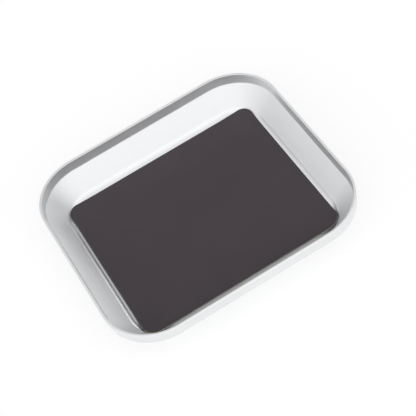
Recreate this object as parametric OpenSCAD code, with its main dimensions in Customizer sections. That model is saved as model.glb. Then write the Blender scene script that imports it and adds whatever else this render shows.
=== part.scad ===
// Shallow magnetic parts tray: a pan pressed from one aluminium sheet, with a magnetic mat glued to its floor.
// The long side lies along X, the short side along Y, and the underside rests on Z = 0.

/* [Tray] */
// length over the lip
tray_w = 108; // [90:1:140]
// width over the lip
tray_d = 99; // [80:1:120]
// height from the underside to the cut edge of the lip
tray_h = 14.3; // [13:0.1:22]
// outer corner radius of the lip, seen from above
corner_r = 21.7; // [18:0.1:28]
// thickness of the aluminium sheet
sheet_t = 1; // [0.6:0.1:1.4]

/* [Lip] */
// length of the lip from its cut edge down to the start of its bend
lip_h = 4.3; // [2:0.1:6]
// outward lean of the lip from the vertical, in degrees
lip_lean = 3; // [0:0.5:10]
// inside radius of the bend between lip and wall
lip_bend_r = 1; // [0.5:0.1:3]
// rounding of the cut edge
edge_r = 0.2; // [0.05:0.05:0.25]

/* [Floor] */
// distance from the outer edge of the lip to the edge of the flat floor
floor_inset = 11.6; // [9:0.1:13]
// inside radius of the bend between floor and wall
floor_bend_r = 4.8; // [3.5:0.1:6]

/* [Magnetic mat] */
// length of the mat
mat_w = 86.4; // [60:0.1:110]
// width of the mat
mat_d = 75.4; // [50:0.1:90]
// corner radius of the mat
mat_corner_r = 5.2; // [3:0.1:12]
// thickness of the adhesive film under the magnet sheet
adhesive_t = 0.1; // [0.05:0.01:0.3]
// thickness of the magnet sheet
magnet_t = 0.5; // [0.4:0.05:1.6]
// thickness of the film on top of the magnet sheet
film_t = 0.1; // [0.05:0.01:0.3]

/* [Hidden] */
$fn = 96;

// Largest turn of one straight step along a bend, in degrees.
bend_step = 8;

// The outlines below are drawn as (distance from the corner axis, height), so the lip's edge lies at corner_r.
straight_x = tray_w - 2 * corner_r;
straight_y = tray_d - 2 * corner_r;

// Top of the lip's inner face, where the rounding of the cut edge begins.
lip_top = [corner_r - sheet_t / cos(lip_lean), tray_h - edge_r];

// Bend centres, both on the inner side of the sheet. The lip's one lies a lip's length down and a bend radius inwards.
lip_c = lip_top - (lip_h - edge_r) * [sin(lip_lean), cos(lip_lean)] - lip_bend_r * [cos(lip_lean), -sin(lip_lean)];
floor_c = [corner_r - floor_inset, sheet_t + floor_bend_r];

// The wall is the common tangent of the two bends, so its lean from the vertical follows from them.
bend_span = lip_c - floor_c;
wall_lean = acos((floor_bend_r - lip_bend_r) / norm(bend_span)) - atan2(bend_span[1], bend_span[0]);

// The mat's corners are squarer than the floor, so they ride up the floor's bend, which turns as far as the wall.
mat_turn = 90 - wall_lean;
adhesive_top = adhesive_t;
magnet_top = adhesive_top + magnet_t;
film_top = magnet_top + film_t;

// Points along an arc from angle a0 to angle a1, both ends included.
function arc(centre, r, a0, a1) =
    let (n = ceil(abs(a1 - a0) / bend_step))
    [for (i = [0 : n]) let (a = a0 + (a1 - a0) * i / n) centre + r * [cos(a), sin(a)]];

// Cross-section of the sheet: underside and back of the wall, the cut edge, then the inner face down to the floor.
module sheet_outline() {
    polygon(concat(
        [[0, 0]],
        arc(floor_c, floor_bend_r + sheet_t, -90, -wall_lean),
        arc(lip_c, lip_bend_r + sheet_t, -wall_lean, -lip_lean),
        arc([corner_r - edge_r, tray_h - edge_r], edge_r, 0, 90),
        arc([lip_top[0] + edge_r, tray_h - edge_r], edge_r, 90, 180),
        arc(lip_c, lip_bend_r, -lip_lean, -wall_lean),
        arc(floor_c, floor_bend_r, -wall_lean, -90),
        [[0, sheet_t]]
    ));
}

// Cross-section of a layer that lies on the floor and follows the bend, from low to high above the sheet.
module layer_outline(low, high) {
    polygon(concat(
        [[0, sheet_t + low]],
        arc(floor_c, floor_bend_r - low, -90, mat_turn - 90),
        arc(floor_c, floor_bend_r - high, mat_turn - 90, -90),
        [[0, sheet_t + high]]
    ));
}

// Carries a cross-section round the tray: four turned corners and four straight sides.
module round_the_tray() {
    for (turn = [0 : 3]) {
        sx = turn == 0 || turn == 3 ? 1 : -1;
        sy = turn < 2 ? 1 : -1;
        translate([sx * straight_x / 2, sy * straight_y / 2, 0])
            rotate(90 * turn)
                rotate_extrude(angle = 90)
                    children();
    }
    for (turn = [0, 180]) {
        rotate(turn)
            translate([straight_x / 2, 0, 0])
                rotate([90, 0, 0])
                    linear_extrude(height = straight_y, center = true)
                        children();
        rotate(turn)
            translate([0, straight_y / 2, 0])
                rotate([90, 0, 90])
                    linear_extrude(height = straight_x, center = true)
                        children();
    }
}

// Flat plate between the corner axes, from height low to height high.
module middle_plate(low, high) {
    translate([-straight_x / 2, -straight_y / 2, low])
        cube([straight_x, straight_y, high - low]);
}

// Rounded rectangle centred on the origin.
module rounded_plate(w, d, r) {
    square([w - 2 * r, d], center = true);
    square([w, d - 2 * r], center = true);
    for (sx = [-1, 1], sy = [-1, 1])
        translate([sx * (w / 2 - r), sy * (d / 2 - r)])
            circle(r = r);
}

// One layer of the mat, cut to the mat's outline.
module mat_layer(low, high) {
    intersection() {
        union() {
            round_the_tray()
                layer_outline(low, high);
            middle_plate(sheet_t + low, sheet_t + high);
        }
        linear_extrude(height = tray_h)
            rounded_plate(mat_w, mat_d, mat_corner_r);
    }
}

// Pan of satin aluminium sheet: flat floor, flared wall and a nearly upright lip with a plain cut edge.
module tray_pan() {
    color("#d9dadc")
        union() {
            round_the_tray()
                sheet_outline();
            middle_plate(0, sheet_t);
        }
}

// Clear adhesive film between the pan and the magnet sheet.
module adhesive_film() {
    color("#c9c4b4")
        mat_layer(0, adhesive_top);
}

// Flexible ferrite-rubber magnet sheet.
module magnet_sheet() {
    color("#3a3534")
        mat_layer(adhesive_top, magnet_top);
}

// Matt dark film on top of the magnet sheet.
module face_film() {
    color("#484247")
        mat_layer(magnet_top, film_top);
}

tray_pan();
adhesive_film();
magnet_sheet();
face_film();
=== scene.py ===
"""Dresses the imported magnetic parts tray: pressed pan, magnetic mat, finishes, studio and camera.

Sizes are in millimetres and become metres where a mesh is made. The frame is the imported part's own:
X along the long side, Y along the short side, Z up out of the tray, underside on Z = 0.
"""

import logging
import math
from dataclasses import dataclass
from enum import Enum

import bpy
import numpy as np
from mathutils import Matrix, Vector

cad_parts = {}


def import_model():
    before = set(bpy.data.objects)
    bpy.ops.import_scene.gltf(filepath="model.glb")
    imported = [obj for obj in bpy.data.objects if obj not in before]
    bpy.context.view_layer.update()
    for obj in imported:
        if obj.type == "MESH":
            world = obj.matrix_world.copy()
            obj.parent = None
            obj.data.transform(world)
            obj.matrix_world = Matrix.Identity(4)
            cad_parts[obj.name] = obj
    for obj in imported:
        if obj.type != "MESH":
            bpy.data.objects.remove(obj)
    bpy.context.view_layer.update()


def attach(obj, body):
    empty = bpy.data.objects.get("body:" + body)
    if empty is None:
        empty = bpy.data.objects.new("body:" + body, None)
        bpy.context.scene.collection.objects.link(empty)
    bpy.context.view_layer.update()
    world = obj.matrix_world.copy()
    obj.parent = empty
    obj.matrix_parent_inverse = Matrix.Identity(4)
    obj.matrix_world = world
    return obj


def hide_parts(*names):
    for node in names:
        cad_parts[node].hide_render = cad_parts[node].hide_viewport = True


LOG = logging.getLogger("parts_tray")
MM = 0.001
# Nearly all values of a noise texture lie between these two.
NOISE_RANGE = (0.3, 0.7)


def to_linear(hex_colour: str) -> tuple[float, float, float, float]:
    """Turns an sRGB hex colour into linear RGBA.

    Args:
        hex_colour: six hex digits after a hash sign.

    Returns:
        Linear red, green and blue, with alpha 1.
    """
    srgb = np.array([int(hex_colour[i : i + 2], 16) for i in (1, 3, 5)]) / 255.0
    linear = np.where(srgb <= 0.04045, srgb / 12.92, ((srgb + 0.055) / 1.055) ** 2.4)
    return (*linear.tolist(), 1.0)


def add_node(
    tree: bpy.types.NodeTree,
    kind: str,
    settings: dict[str, object] | None = None,
    values: dict[str | int, object] | None = None,
    links: dict[str | int, bpy.types.NodeSocket] | None = None,
) -> bpy.types.Node:
    """Adds one node with its settings, socket values and links.

    Args:
        tree: node tree that takes the node.
        kind: Blender's node type name.
        settings: properties of the node itself.
        values: input sockets, by name or index, and the values set on them.
        links: input sockets, by name or index, and the output sockets that feed them.

    Returns:
        The new node.
    """
    node = tree.nodes.new(kind)
    for key, value in (settings or {}).items():
        setattr(node, key, value)
    for key, value in (values or {}).items():
        node.inputs[key].default_value = value
    for key, socket in (links or {}).items():
        tree.links.new(socket, node.inputs[key])
    return node


def blank_material(name: str) -> tuple[bpy.types.Material, bpy.types.NodeTree]:
    """Makes a material with an empty node tree.

    Args:
        name: name of the material.

    Returns:
        The material and its node tree.
    """
    material = bpy.data.materials.new(name)
    material.use_nodes = True
    material.node_tree.nodes.clear()
    return material, material.node_tree


@dataclass(frozen=True)
class SatinAluminium:
    """Clear-anodised aluminium sheet, blasted fine before the anodising.

    The eye sees a bright even silver with soft reflections and a faint grain, crisper reflections in the bend that
    the press tool burnished, and a slightly smoother crest where hands rub the lip.
    """

    name: str = "aluminium_blasted_clear_anodised"
    dark: str = "#e8e9ea"
    light: str = "#f1f2f3"
    roughness: float = 0.5
    crest_roughness: float = 0.4
    bend_roughness: float = 0.3
    # Handling marks change the roughness by this much either way.
    roughness_spread: float = 0.025
    # Blasting leaves pits of about 0.1 mm, too fine for the picture, so the grain is drawn at 0.6 mm.
    grain_mm: float = 0.6
    # Handling marks spread over some 14 mm.
    cloud_mm: float = 14.0
    bump: float = 0.04
    bump_mm: float = 0.04

    def material(self) -> bpy.types.Material:
        """Builds the node material.

        Returns:
            The material.
        """
        material, tree = blank_material(self.name)
        where = add_node(tree, "ShaderNodeTexCoord").outputs["Object"]
        grain = add_node(
            tree,
            "ShaderNodeTexNoise",
            values={"Scale": 1.0 / (self.grain_mm * MM), "Detail": 3.0, "Roughness": 0.6},
            links={"Vector": where},
        )
        cloud = add_node(
            tree,
            "ShaderNodeTexNoise",
            values={"Scale": 1.0 / (self.cloud_mm * MM), "Detail": 2.0, "Roughness": 0.5},
            links={"Vector": where},
        )
        crest = add_node(tree, "ShaderNodeAttribute", settings={"attribute_name": "crest"})
        rough = add_node(
            tree,
            "ShaderNodeMapRange",
            values={
                "From Min": NOISE_RANGE[0],
                "From Max": NOISE_RANGE[1],
                "To Min": self.roughness - self.roughness_spread,
                "To Max": self.roughness + self.roughness_spread,
            },
            links={"Value": cloud.outputs["Fac"]},
        )
        bend = add_node(tree, "ShaderNodeAttribute", settings={"attribute_name": "bend"})
        pressed = add_node(
            tree,
            "ShaderNodeMix",
            settings={"data_type": "FLOAT"},
            values={"B": self.bend_roughness},
            links={"Factor": bend.outputs["Fac"], "A": rough.outputs["Result"]},
        )
        worn = add_node(
            tree,
            "ShaderNodeMix",
            settings={"data_type": "FLOAT"},
            values={"B": self.crest_roughness},
            links={"Factor": crest.outputs["Fac"], "A": pressed.outputs["Result"]},
        )
        colour = add_node(
            tree,
            "ShaderNodeMix",
            settings={"data_type": "RGBA"},
            values={6: to_linear(self.dark), 7: to_linear(self.light)},
            links={0: cloud.outputs["Fac"]},
        )
        bump = add_node(
            tree,
            "ShaderNodeBump",
            values={"Strength": self.bump, "Distance": self.bump_mm * MM},
            links={"Height": grain.outputs["Fac"]},
        )
        surface = add_node(
            tree,
            "ShaderNodeBsdfPrincipled",
            values={"Metallic": 1.0},
            links={
                "Base Color": colour.outputs[2],
                "Roughness": worn.outputs["Result"],
                "Normal": bump.outputs["Normal"],
            },
        )
        add_node(tree, "ShaderNodeOutputMaterial", links={"Surface": surface.outputs["BSDF"]})
        return material


@dataclass(frozen=True)
class MattVinyl:
    """Calendered matt vinyl film, dark warm grey.

    The eye sees an even dark surface with a soft sheen at a low angle and a fine pebble grain.
    """

    name: str = "vinyl_film_matt_calendered"
    dark: str = "#3e373c"
    light: str = "#463f44"
    roughness: float = 0.62
    specular: float = 0.3
    ior: float = 1.5
    # The grain of the embossing roll is about 0.3 mm, drawn at 0.7 mm so that it shows.
    grain_mm: float = 0.7
    # The calender leaves faint clouds of some 22 mm.
    cloud_mm: float = 22.0
    bump: float = 0.12
    bump_mm: float = 0.08

    def material(self) -> bpy.types.Material:
        """Builds the node material.

        Returns:
            The material.
        """
        material, tree = blank_material(self.name)
        where = add_node(tree, "ShaderNodeTexCoord").outputs["Object"]
        cloud = add_node(
            tree,
            "ShaderNodeTexNoise",
            values={"Scale": 1.0 / (self.cloud_mm * MM), "Detail": 3.0, "Roughness": 0.55},
            links={"Vector": where},
        )
        grain = add_node(
            tree,
            "ShaderNodeTexVoronoi",
            settings={"feature": "SMOOTH_F1"},
            values={"Scale": 1.0 / (self.grain_mm * MM), "Smoothness": 0.6},
            links={"Vector": where},
        )
        colour = add_node(
            tree,
            "ShaderNodeMix",
            settings={"data_type": "RGBA"},
            values={6: to_linear(self.dark), 7: to_linear(self.light)},
            links={0: cloud.outputs["Fac"]},
        )
        bump = add_node(
            tree,
            "ShaderNodeBump",
            values={"Strength": self.bump, "Distance": self.bump_mm * MM},
            links={"Height": grain.outputs["Distance"]},
        )
        surface = add_node(
            tree,
            "ShaderNodeBsdfPrincipled",
            values={"Roughness": self.roughness, "IOR": self.ior, "Specular IOR Level": self.specular},
            links={"Base Color": colour.outputs[2], "Normal": bump.outputs["Normal"]},
        )
        add_node(tree, "ShaderNodeOutputMaterial", links={"Surface": surface.outputs["BSDF"]})
        return material


@dataclass(frozen=True)
class FerriteRubber:
    """Calendered rubber filled with ferrite powder, cut with a steel-rule die.

    The eye sees a nearly black, slightly brown edge with a dull, gritty break.
    """

    name: str = "ferrite_rubber_die_cut"
    dark: str = "#332f2e"
    light: str = "#3f3a38"
    roughness: float = 0.75
    ior: float = 1.52
    # Ferrite grit clumps to about 0.25 mm at a cut edge.
    grit_mm: float = 0.25
    bump: float = 0.2
    bump_mm: float = 0.05

    def material(self) -> bpy.types.Material:
        """Builds the node material.

        Returns:
            The material.
        """
        material, tree = blank_material(self.name)
        where = add_node(tree, "ShaderNodeTexCoord").outputs["Object"]
        grit = add_node(
            tree,
            "ShaderNodeTexNoise",
            values={"Scale": 1.0 / (self.grit_mm * MM), "Detail": 2.0},
            links={"Vector": where},
        )
        colour = add_node(
            tree,
            "ShaderNodeMix",
            settings={"data_type": "RGBA"},
            values={6: to_linear(self.dark), 7: to_linear(self.light)},
            links={0: grit.outputs["Fac"]},
        )
        bump = add_node(
            tree,
            "ShaderNodeBump",
            values={"Strength": self.bump, "Distance": self.bump_mm * MM},
            links={"Height": grit.outputs["Fac"]},
        )
        surface = add_node(
            tree,
            "ShaderNodeBsdfPrincipled",
            values={"Roughness": self.roughness, "IOR": self.ior},
            links={"Base Color": colour.outputs[2], "Normal": bump.outputs["Normal"]},
        )
        add_node(tree, "ShaderNodeOutputMaterial", links={"Surface": surface.outputs["BSDF"]})
        return material


@dataclass(frozen=True)
class ClearAdhesive:
    """Clear acrylic transfer adhesive, seen only as a thin pale line under the mat."""

    name: str = "acrylic_adhesive_film"
    dark: str = "#b9b4a6"
    light: str = "#cdc9bc"
    roughness: float = 0.35
    ior: float = 1.48
    # Trapped air lies in patches of some 1.5 mm.
    bubble_mm: float = 1.5

    def material(self) -> bpy.types.Material:
        """Builds the node material.

        Returns:
            The material.
        """
        material, tree = blank_material(self.name)
        where = add_node(tree, "ShaderNodeTexCoord").outputs["Object"]
        bubbles = add_node(
            tree,
            "ShaderNodeTexNoise",
            values={"Scale": 1.0 / (self.bubble_mm * MM), "Detail": 2.0},
            links={"Vector": where},
        )
        colour = add_node(
            tree,
            "ShaderNodeMix",
            settings={"data_type": "RGBA"},
            values={6: to_linear(self.dark), 7: to_linear(self.light)},
            links={0: bubbles.outputs["Fac"]},
        )
        surface = add_node(
            tree,
            "ShaderNodeBsdfPrincipled",
            values={"Roughness": self.roughness, "IOR": self.ior},
            links={"Base Color": colour.outputs[2]},
        )
        add_node(tree, "ShaderNodeOutputMaterial", links={"Surface": surface.outputs["BSDF"]})
        return material


class Sampling(Enum):
    """Number of steps along the parts of a rounded outline and its cross-sections."""

    CORNER = 28
    STRAIGHT = 10
    BEND = 24
    FLAT = 30
    CUT_EDGE = 6
    LAYER_FOOT = 3
    LAYER_TOP = 4


@dataclass(frozen=True)
class RoundedOutline:
    """Rounded rectangle centred on the origin, held as the box of its corner axes."""

    axis_x: float
    axis_y: float

    def stations(self) -> tuple[np.ndarray, np.ndarray]:
        """Samples the outline once round.

        Each quarter is a corner and the straight run after it. On the corner the foot stays on the corner axis while
        the direction turns by a quarter, and on the run the direction stays while the foot slides to the next axis. A
        point of the outline is foot + radius * direction.

        Returns:
            Feet and unit directions, both of shape (n, 2).
        """
        quarter = np.arange(4)[:, None] * (math.pi / 2)
        turn = quarter + np.linspace(0.0, math.pi / 2, Sampling.CORNER.value + 1)[None, :]
        slide = np.linspace(0.0, 1.0, Sampling.STRAIGHT.value + 1)[1:-1]
        signs = np.array([[1, 1], [-1, 1], [-1, -1], [1, -1]], float)
        axes = signs * np.array([self.axis_x, self.axis_y])
        following = np.roll(axes, -1, axis=0)
        corner_feet = np.repeat(axes[:, None, :], turn.shape[1], axis=1)
        run_feet = axes[:, None, :] + slide[None, :, None] * (following - axes)[:, None, :]
        corner_dirs = np.stack([np.cos(turn), np.sin(turn)], axis=-1)
        run_dirs = np.repeat(corner_dirs[:, -1:, :], len(slide), axis=1)
        feet = np.concatenate([corner_feet, run_feet], axis=1).reshape(-1, 2)
        dirs = np.concatenate([corner_dirs, run_dirs], axis=1).reshape(-1, 2)
        return feet, dirs

    def outside(self, points: np.ndarray, radius: float) -> np.ndarray:
        """Distance by which points lie outside the outline with that corner radius, negative inside.

        Args:
            points: array of shape (..., 2).
            radius: corner radius of the outline.

        Returns:
            Signed distances of shape (...).
        """
        q = np.abs(points) - np.array([self.axis_x, self.axis_y])
        beyond = np.linalg.norm(np.maximum(q, 0.0), axis=-1)
        return beyond + np.minimum(q.max(axis=-1), 0.0) - radius


def arc(centre: tuple[float, float], radius: float, start: float, end: float, steps: int) -> np.ndarray:
    """Points along an arc: centre + radius * (cos a, sin a) for a from start to end.

    Args:
        centre: centre of the arc.
        radius: radius of the arc.
        start: first angle in degrees.
        end: last angle in degrees.
        steps: number of steps.

    Returns:
        Array of shape (steps + 1, 2).
    """
    a = np.radians(np.linspace(start, end, steps + 1))
    return np.array(centre) + radius * np.stack([np.cos(a), np.sin(a)], axis=-1)


def ringed_shell(name: str, rings: np.ndarray, attributes: dict[str, np.ndarray] | None = None) -> bpy.types.Object:
    """Makes a closed mesh from rings, whose first and last ring have shrunk to a point.

    Quads join each ring to the next and the last station to the first, and a fan of triangles closes each pole.

    Args:
        name: name of the object and its mesh.
        rings: points in millimetres, of shape (ring, station, 3).
        attributes: values per ring that become point attributes.

    Returns:
        The object, linked to the scene.
    """
    count, stations = rings.shape[:2]
    body = rings[1:-1].reshape(-1, 3)
    points = np.concatenate([rings[:1, 0], body, rings[-1:, 0]]) * MM
    here = np.arange(stations)
    after = np.roll(here, -1)
    base = 1 + stations * np.arange(count - 3)[:, None]
    above = base + stations
    quads = np.stack([base + here, base + after, above + after, above + here], axis=-1).reshape(-1, 4)
    last = len(points) - 1
    top = 1 + stations * (count - 3)
    first_fan = np.stack([np.zeros_like(here), after + 1, here + 1], axis=-1)
    last_fan = np.stack([np.full_like(here, last), top + here, top + after], axis=-1)
    mesh = bpy.data.meshes.new(name)
    mesh.from_pydata(points.tolist(), [], quads.tolist() + first_fan.tolist() + last_fan.tolist())
    mesh.polygons.foreach_set("use_smooth", np.ones(len(mesh.polygons), bool))
    for key, values in (attributes or {}).items():
        spread = np.concatenate([values[:1], np.repeat(values[1:-1], stations), values[-1:]]).astype(np.float32)
        mesh.attributes.new(key, "FLOAT", "POINT").data.foreach_set("value", spread)
    mesh.validate()
    mesh.update()
    piece = bpy.data.objects.new(name, mesh)
    bpy.context.scene.collection.objects.link(piece)
    return piece


@dataclass(frozen=True)
class Pan:
    """Pressed aluminium pan: flat floor, flared wall and a nearly upright lip with a plain cut edge."""

    width: float = 108.0
    depth: float = 99.0
    height: float = 14.3
    corner_r: float = 21.7
    sheet: float = 1.0
    lip: float = 4.3
    lip_lean: float = 3.0
    lip_bend_r: float = 1.0
    # The cut edge is broken by tumbling.
    edge_r: float = 0.2
    floor_inset: float = 11.6
    floor_bend_r: float = 4.8
    # Share of the floor bend, from the wall down, over which the burnish comes in.
    burnish_fade: float = 0.25

    @property
    def outline(self) -> RoundedOutline:
        """Box of the corner axes, which pan and floor share."""
        return RoundedOutline(self.width / 2 - self.corner_r, self.depth / 2 - self.corner_r)

    @property
    def floor_r(self) -> float:
        """Corner radius of the flat floor."""
        return self.corner_r - self.floor_inset

    def section(self) -> tuple[np.ndarray, np.ndarray, dict[str, np.ndarray]]:
        """Works out the cross-section of the sheet as (distance from the corner axis, height).

        It starts in the middle of the underside, runs out and up the back of the wall and the lip, over the cut edge,
        and down the inner face to the middle of the floor. The wall is the common tangent of the two bends.

        Returns:
            Section points of shape (n, 2), the share of the way from the middle to the floor's edge, and the weights of
            the worn crest and of the burnished bend.
        """
        tilt = math.radians(self.lip_lean)
        edge = self.edge_r
        top_x = self.corner_r - self.sheet / math.cos(tilt)
        top_z = self.height - edge
        drop = self.lip - edge
        lip = (
            top_x - drop * math.sin(tilt) - self.lip_bend_r * math.cos(tilt),
            top_z - drop * math.cos(tilt) + self.lip_bend_r * math.sin(tilt),
        )
        floor = (self.floor_r, self.sheet + self.floor_bend_r)
        run, rise = lip[0] - floor[0], lip[1] - floor[1]
        tangent = math.acos((self.floor_bend_r - self.lip_bend_r) / math.hypot(run, rise))
        lean = math.degrees(tangent - math.atan2(rise, run))
        bend, flat = Sampling.BEND.value, Sampling.FLAT.value
        under = np.array([[self.floor_r, 0.0]]).repeat(flat, axis=0)
        inside = np.array([[self.floor_r, self.sheet]]).repeat(flat, axis=0)
        parts = [
            under,
            arc(floor, self.floor_bend_r + self.sheet, -90.0, -lean, bend),
            arc(lip, self.lip_bend_r + self.sheet, -lean, -self.lip_lean, bend // 2),
            arc((self.corner_r - edge, top_z), edge, 0.0, 90.0, Sampling.CUT_EDGE.value),
            arc((top_x + edge, top_z), edge, 90.0, 180.0, Sampling.CUT_EDGE.value),
            arc(lip, self.lip_bend_r, -self.lip_lean, -lean, bend // 2),
            arc(floor, self.floor_bend_r, -lean, -90.0, bend),
            inside,
        ]
        points = np.concatenate(parts)
        share = np.ones(len(points))
        share[:flat] = np.linspace(0.0, 1.0, flat, endpoint=False)
        share[-flat:] = np.linspace(1.0, 0.0, flat + 1)[1:]
        away = np.linalg.norm(points - np.array([self.corner_r - self.sheet / 2, self.height]), axis=1)
        crest = np.clip(1.0 - away / self.sheet, 0.0, 1.0)
        burnished = np.zeros(len(points))
        fade = np.linspace(0.0, 1.0 / self.burnish_fade, bend + 1)
        burnished[-flat - bend - 1 : -flat] = np.minimum(fade, 1.0)
        burnished[-flat:] = 1.0
        return points, share, {"crest": crest, "bend": burnished}

    def build(self) -> bpy.types.Object:
        """Carries the section round the outline.

        A ring is share * (foot + r * direction) across, at the section's own height.

        Returns:
            The object.
        """
        points, share, weights = self.section()
        feet, dirs = self.outline.stations()
        across = share[:, None, None] * (feet[None] + points[:, 0, None, None] * dirs[None])
        up = np.broadcast_to(points[:, 1, None, None], (*across.shape[:2], 1))
        return ringed_shell("pan", np.concatenate([across, up], axis=-1), weights)

    def dress(self, piece: bpy.types.Object, finish: SatinAluminium) -> None:
        """Gives the pan its finish and puts it in place of the CAD pan.

        Args:
            piece: the pan.
            finish: finish of the sheet.
        """
        piece.data.materials.append(finish.material())
        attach(piece, "root")
        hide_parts("tray_pan")


@dataclass(frozen=True)
class MatLayer:
    """One layer of the mat, between two heights above the pan's floor."""

    piece: str
    node: str
    slot: str
    low: float
    high: float
    edge_r: float


@dataclass(frozen=True)
class Mat:
    """Magnetic mat: adhesive, magnet sheet and face film, whose corners ride up the bend of the floor."""

    pan: Pan
    width: float = 86.4
    depth: float = 75.4
    corner_r: float = 5.2
    adhesive: float = 0.1
    magnet: float = 0.5
    film: float = 0.1
    # Roundings of the die-cut edges, from the adhesive up.
    edges: tuple[float, float, float] = (0.015, 0.03, 0.045)
    # Largest share of the bend radius that a layer follows, so that the root below stays real.
    bend_reach: float = 0.95

    def layers(self) -> tuple[MatLayer, MatLayer, MatLayer]:
        """Stacks the layers.

        Returns:
            The three layers from the floor up.
        """
        one = self.adhesive
        two = one + self.magnet
        three = two + self.film
        return (
            MatLayer("mat_adhesive", "adhesive_film", "clear_adhesive", 0.0, one, self.edges[0]),
            MatLayer("mat_magnet", "magnet_sheet", "ferrite_rubber", one, two, self.edges[1]),
            MatLayer("mat_face", "face_film", "matt_vinyl", two, three, self.edges[2]),
        )

    def build(self, layer: MatLayer) -> bpy.types.Object:
        """Makes a layer from rings that shrink to the middle of its underside and its top.

        A ring is share * (foot + (corner_r - inset) * direction). Its height above the floor is that of the layer where
        the floor is flat. Where a point lies s outside the flat floor, the layer follows the bend, which adds
        R - sqrt(R * R - s * s) with R the bend radius less the layer's height.

        Args:
            layer: the layer to make.

        Returns:
            The object.
        """
        half = np.array([self.width, self.depth]) / 2 - self.corner_r
        feet, dirs = RoundedOutline(*half.tolist()).stations()
        flat = Sampling.FLAT.value
        grow = np.sin(np.linspace(0.0, math.pi / 2, flat + 1))
        r = layer.edge_r
        foot = arc((r, layer.low + r), r, 270.0, 180.0, Sampling.LAYER_FOOT.value)
        top = arc((r, layer.high - r), r, 180.0, 90.0, Sampling.LAYER_TOP.value)
        edge = np.concatenate([foot, top])
        inset = np.concatenate([np.full(flat, r), edge[:, 0], np.full(flat, r)])
        share = np.concatenate([grow[:-1], np.ones(len(edge)), grow[-2::-1]])
        level = np.concatenate([np.full(flat, layer.low), edge[:, 1], np.full(flat, layer.high)])
        across = share[:, None, None] * (feet[None] + (self.corner_r - inset)[:, None, None] * dirs[None])
        bend = (self.pan.floor_bend_r - level)[:, None]
        outside = self.pan.outline.outside(across, self.pan.floor_r)
        beyond = np.clip(outside, 0.0, self.bend_reach * bend)
        up = self.pan.sheet + level[:, None] + bend - np.sqrt(bend**2 - beyond**2)
        return ringed_shell(layer.piece, np.concatenate([across, up[..., None]], axis=-1))

    def dress(
        self,
        piece: bpy.types.Object,
        layer: MatLayer,
        finish: MattVinyl | FerriteRubber | ClearAdhesive,
    ) -> None:
        """Gives a layer its finish and puts it in place of its CAD node.

        Args:
            piece: the layer's object.
            layer: the layer.
            finish: its finish.
        """
        piece.data.materials.append(finish.material())
        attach(piece, "root")
        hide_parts(layer.node)


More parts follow.
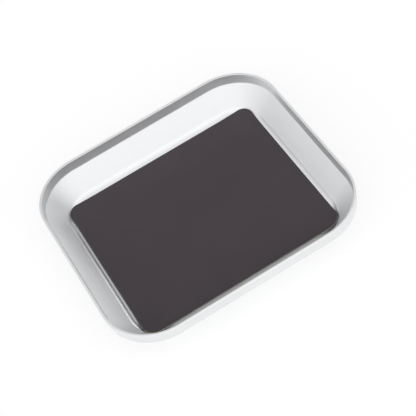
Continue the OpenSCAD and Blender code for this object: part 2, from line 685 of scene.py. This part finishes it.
@dataclass(frozen=True)
class Studio:
    """White table in soft light from all round, with an unlit gap at the back right above a bright backdrop."""

    floor_size: float = 3000.0
    # The floor lies this far below the tray, so that the two don't share a plane.
    floor_drop: float = 0.02
    # The paper gives half its brightness back as light, and half as a glow that only the camera and reflections see.
    floor_colour: str = "#bcbcbc"
    floor_glow: float = 0.53
    # Strengths of the light from the front, from the back, from the backdrop just above the horizon (plain, and in its
    # bright part), and from the gap.
    front: float = 1.2
    back: float = 0.9
    backdrop: tuple[float, float] = (1.4, 2.5)
    gap: float = 0.0
    # Directions of the middle of the gap and of the backdrop's bright part. The spans are soft borders: along Y from
    # front to back, the sines of the heights where the backdrop and the gap end, and the cosines towards the middles.
    gap_middle: tuple[float, float, float] = (0.6, 0.8, 0.0)
    bright_middle: tuple[float, float, float] = (0.82, 0.57, 0.0)
    depth_span: tuple[float, float] = (-0.6, 0.4)
    backdrop_span: tuple[float, float] = (0.12, 0.34)
    gap_span: tuple[float, float] = (0.52, 0.66)
    side_span: tuple[float, float] = (-0.2, 0.5)
    bright_span: tuple[float, float] = (0.5, 0.95)

    def build(self) -> None:
        """Makes the floor and the world."""
        self.floor()
        self.world()

    def floor(self) -> None:
        """Makes the floor, a square just below z = 0, with its material."""
        half = self.floor_size / 2 * MM
        low = -self.floor_drop * MM
        mesh = bpy.data.meshes.new("studio_floor")
        corners = [(-half, -half, low), (half, -half, low), (half, half, low), (-half, half, low)]
        mesh.from_pydata(corners, [], [(0, 1, 2, 3)])
        floor = bpy.data.objects.new("studio_floor", mesh)
        bpy.context.scene.collection.objects.link(floor)
        material, tree = blank_material("studio_floor_paper")
        path = add_node(tree, "ShaderNodeLightPath")
        mirrored = add_node(
            tree,
            "ShaderNodeMath",
            settings={"operation": "MAXIMUM"},
            links={0: path.outputs["Is Glossy Ray"], 1: path.outputs["Is Transmission Ray"]},
        )
        seen = add_node(
            tree,
            "ShaderNodeMath",
            settings={"operation": "MAXIMUM"},
            links={0: path.outputs["Is Camera Ray"], 1: mirrored.outputs["Value"]},
        )
        paper = add_node(tree, "ShaderNodeBsdfDiffuse", values={"Color": to_linear(self.floor_colour)})
        glow = add_node(tree, "ShaderNodeEmission", values={"Strength": self.floor_glow})
        bright = add_node(tree, "ShaderNodeAddShader", links={0: paper.outputs["BSDF"], 1: glow.outputs["Emission"]})
        surface = add_node(
            tree,
            "ShaderNodeMixShader",
            links={0: seen.outputs["Value"], 1: paper.outputs["BSDF"], 2: bright.outputs["Shader"]},
        )
        add_node(tree, "ShaderNodeOutputMaterial", links={"Surface": surface.outputs["Shader"]})
        mesh.materials.append(material)

    def world(self) -> None:
        """Makes the light from all round, whose strength depends on the direction it comes from.

        It fades from the front's strength to the back's, then to the gap's below the gap's upper border and towards its
        middle, and last to the backdrop's near the horizon.
        """
        world = bpy.data.worlds.new("studio_light")
        bpy.context.scene.world = world
        world.use_nodes = True
        tree = world.node_tree
        tree.nodes.clear()
        where = add_node(tree, "ShaderNodeTexCoord").outputs["Generated"]
        axes = add_node(tree, "ShaderNodeSeparateXYZ", links={0: where}).outputs
        to_gap, to_bright = (
            add_node(
                tree,
                "ShaderNodeVectorMath",
                settings={"operation": "DOT_PRODUCT"},
                values={1: middle},
                links={0: where},
            ).outputs["Value"]
            for middle in (self.gap_middle, self.bright_middle)
        )
        fades = (
            (axes["Y"], self.depth_span, (self.front, self.back)),
            (axes["Z"], self.backdrop_span, (1.0, 0.0)),
            (axes["Z"], self.gap_span, (1.0, 0.0)),
            (to_gap, self.side_span, (0.0, 1.0)),
            (to_bright, self.bright_span, self.backdrop),
        )
        level, low, under, side, bright = (
            add_node(
                tree,
                "ShaderNodeMapRange",
                settings={"interpolation_type": "SMOOTHSTEP"},
                values={"From Min": span[0], "From Max": span[1], "To Min": ends[0], "To Max": ends[1]},
                links={"Value": source},
            ).outputs["Result"]
            for source, span, ends in fades
        )
        shade = add_node(tree, "ShaderNodeMath", settings={"operation": "MULTIPLY"}, links={0: under, 1: side})
        shaded = add_node(
            tree,
            "ShaderNodeMix",
            values={"B": self.gap},
            links={"Factor": shade.outputs["Value"], "A": level},
        )
        lit = add_node(tree, "ShaderNodeMix", links={"Factor": low, "A": shaded.outputs["Result"], "B": bright})
        soft = add_node(
            tree,
            "ShaderNodeBackground",
            values={"Color": (1.0, 1.0, 1.0, 1.0)},
            links={"Strength": lit.outputs["Result"]},
        )
        add_node(tree, "ShaderNodeOutputWorld", links={"Surface": soft.outputs["Background"]})


@dataclass(frozen=True)
class PhotoCamera:
    """Camera at the photograph's viewing angle, found from the rim and mat edges."""

    aim: tuple[float, float, float] = (3.14, -4.2, 8.0)
    distance: float = 505.82
    heading: float = 11.775
    elevation: float = 50.294
    roll: float = 21.682
    lens: float = 112.195
    sensor: float = 36.0
    # Nearest and farthest distance drawn, in metres.
    clip_m: tuple[float, float] = (0.01, 20.0)

    def build(self) -> None:
        """Looks down along the heading, turned about its own axis by the roll."""
        a, e, r = (math.radians(x) for x in (self.heading, self.elevation, self.roll))
        ahead = Vector((math.sin(a) * math.cos(e), math.cos(a) * math.cos(e), -math.sin(e)))
        level = Vector((math.cos(a), -math.sin(a), 0.0))
        upright = level.cross(ahead)
        right = level * math.cos(r) - upright * math.sin(r)
        up = upright * math.cos(r) + level * math.sin(r)
        data = bpy.data.cameras.new("photo_camera")
        data.sensor_width = self.sensor
        data.lens = self.lens
        data.clip_start, data.clip_end = self.clip_m
        camera = bpy.data.objects.new("photo_camera", data)
        turn = Matrix((right, up, -ahead)).transposed().to_4x4()
        place = (Vector(self.aim) - ahead * self.distance) * MM
        camera.matrix_world = Matrix.Translation(place) @ turn
        bpy.context.scene.collection.objects.link(camera)
        bpy.context.scene.camera = camera


def main() -> None:
    """Loads the frame, builds and dresses each piece, then sets up the studio and the camera."""
    logging.basicConfig(level=logging.INFO, format="%(name)s: %(message)s")
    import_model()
    bpy.context.scene.view_settings.view_transform = "Standard"
    pan = Pan()
    shell = pan.build()
    pan.dress(shell, SatinAluminium())
    LOG.info("%s has %d faces", shell.name, len(shell.data.polygons))
    mat = Mat(pan)
    for layer, finish in zip(mat.layers(), (ClearAdhesive(), FerriteRubber(), MattVinyl()), strict=True):
        piece = mat.build(layer)
        mat.dress(piece, layer, finish)
        LOG.info("%s has %d faces", piece.name, len(piece.data.polygons))
    Studio().build()
    PhotoCamera().build()


if __name__ == "__main__":
    main()
